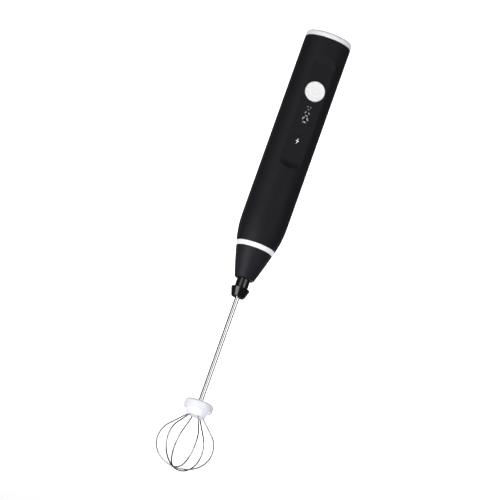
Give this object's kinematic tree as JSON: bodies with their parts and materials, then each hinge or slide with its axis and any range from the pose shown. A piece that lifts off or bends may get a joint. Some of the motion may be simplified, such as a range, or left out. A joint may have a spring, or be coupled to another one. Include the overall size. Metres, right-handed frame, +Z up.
{
  "type": "milk frother",
  "caption": "Slim rechargeable hand-held milk frother: round soft-touch handle with a recessed button panel, tapered nose, steel rod and a pull-off balloon whisk.",
  "frame": {"origin": "middle of the end cap's flat face, on which the frother stands", "axes": "+Z up the handle's axis to the whisk, -Y out of the control panel, +X to the right when facing the panel"},
  "size_m": [0.0326, 0.0348, 0.2771],
  "materials": {
    "soft_black": "soft-touch matte",
    "white_plastic": "satin moulded",
    "button_white": "semi-gloss moulded",
    "hub_white": "satin moulded nylon",
    "satin_black": "satin moulded",
    "gloss_black": "polished moulded",
    "seal_rubber": "moulded silicone",
    "marking_silver": "pad-printed ink",
    "marking_white": "pad-printed ink",
    "bearing_white": "moulded acetal",
    "carrier_grey": "moulded",
    "bell_black": "moulded",
    "cell_wrap": "shrink-wrapped",
    "nickel": "rolled strip",
    "board_green": "solder mask",
    "switch_steel": "stamped",
    "chip_black": "moulded epoxy",
    "capacitor_tan": "fired",
    "led_white": "clear epoxy",
    "guide_smoke": "smoked clear",
    "screw_steel": "zinc plated",
    "socket_steel": "stamped",
    "can_steel": "zinc plated",
    "sintered_bronze": "sintered",
    "ferrite": "ground",
    "brush_copper": "pressed",
    "lead_red": "extruded",
    "lead_black": "extruded",
    "shaft_steel": "ground",
    "core_steel": "laminated",
    "winding_copper": "enamelled wire",
    "rod_steel": "polished stainless",
    "wire_steel": "polished stainless"
  },
  "bodies": {
    "handle": {"handle_shell": "soft_black", "end_cap": "white_plastic", "end_cap_seal": "seal_rubber", "trim_ring": "white_plastic", "nose_cone": "satin_black", "nose_bearing": "bearing_white", "nose_seal": "seal_rubber", "inner_carrier": "carrier_grey", "motor_damper": "seal_rubber", "battery_cell": "cell_wrap", "battery_tab_positive": "nickel", "battery_tab_negative": "nickel", "main_board": "board_green", "tact_switch": "switch_steel", "controller_chip": "chip_black", "charger_chip": "chip_black", "motor_driver": "chip_black", "board_capacitors": "capacitor_tan", "speed_led_1": "led_white", "speed_led_2": "led_white", "speed_led_3": "led_white", "speed_light_guide_1": "guide_smoke", "speed_light_guide_2": "guide_smoke", "speed_light_guide_3": "guide_smoke", "charge_led": "led_white", "charge_light_guide": "guide_smoke", "board_screws": "screw_steel", "charge_board": "board_green", "charge_board_screws": "screw_steel", "usb_socket": "socket_steel", "usb_tongue": "bell_black", "motor_can": "can_steel", "motor_end_bell": "bell_black", "motor_bushes": "sintered_bronze", "motor_magnets": "ferrite", "motor_brushes": "brush_copper", "motor_terminals": "nickel", "motor_screws": "screw_steel", "motor_lead_positive": "lead_red", "motor_lead_negative": "lead_black", "charge_lead_positive": "lead_red", "charge_lead_negative": "lead_black"},
    "rotor": {"motor_shaft": "shaft_steel", "armature_core": "core_steel", "armature_windings": "winding_copper", "commutator": "winding_copper", "drive_socket": "bearing_white"},
    "button": {"power_button": "button_white", "switch_plunger": "bell_black"},
    "whisk_head": {"whisk_plug": "gloss_black", "whisk_rod": "rod_steel", "whisk_hub": "hub_white", "whisk_wire_1": "wire_steel", "whisk_wire_2": "wire_steel", "whisk_wire_3": "wire_steel"}
  },
  "joints": [
    {"name": "rotor_spin", "type": "hinge", "parent": "handle", "child": "rotor", "pos_m": [0, 0, 0.123], "axis": [0, 0, 1], "continuous": true},
    {"name": "whisk_pull_off", "type": "slide", "parent": "rotor", "child": "whisk_head", "axis": [0, 0, 1], "range_m": [0, 0.02]},
    {"name": "button_press", "type": "slide", "parent": "handle", "child": "button", "axis": [0, 1, 0], "range_m": [0, 0.0003], "stiffness_N_per_m": 2000}
  ]
}
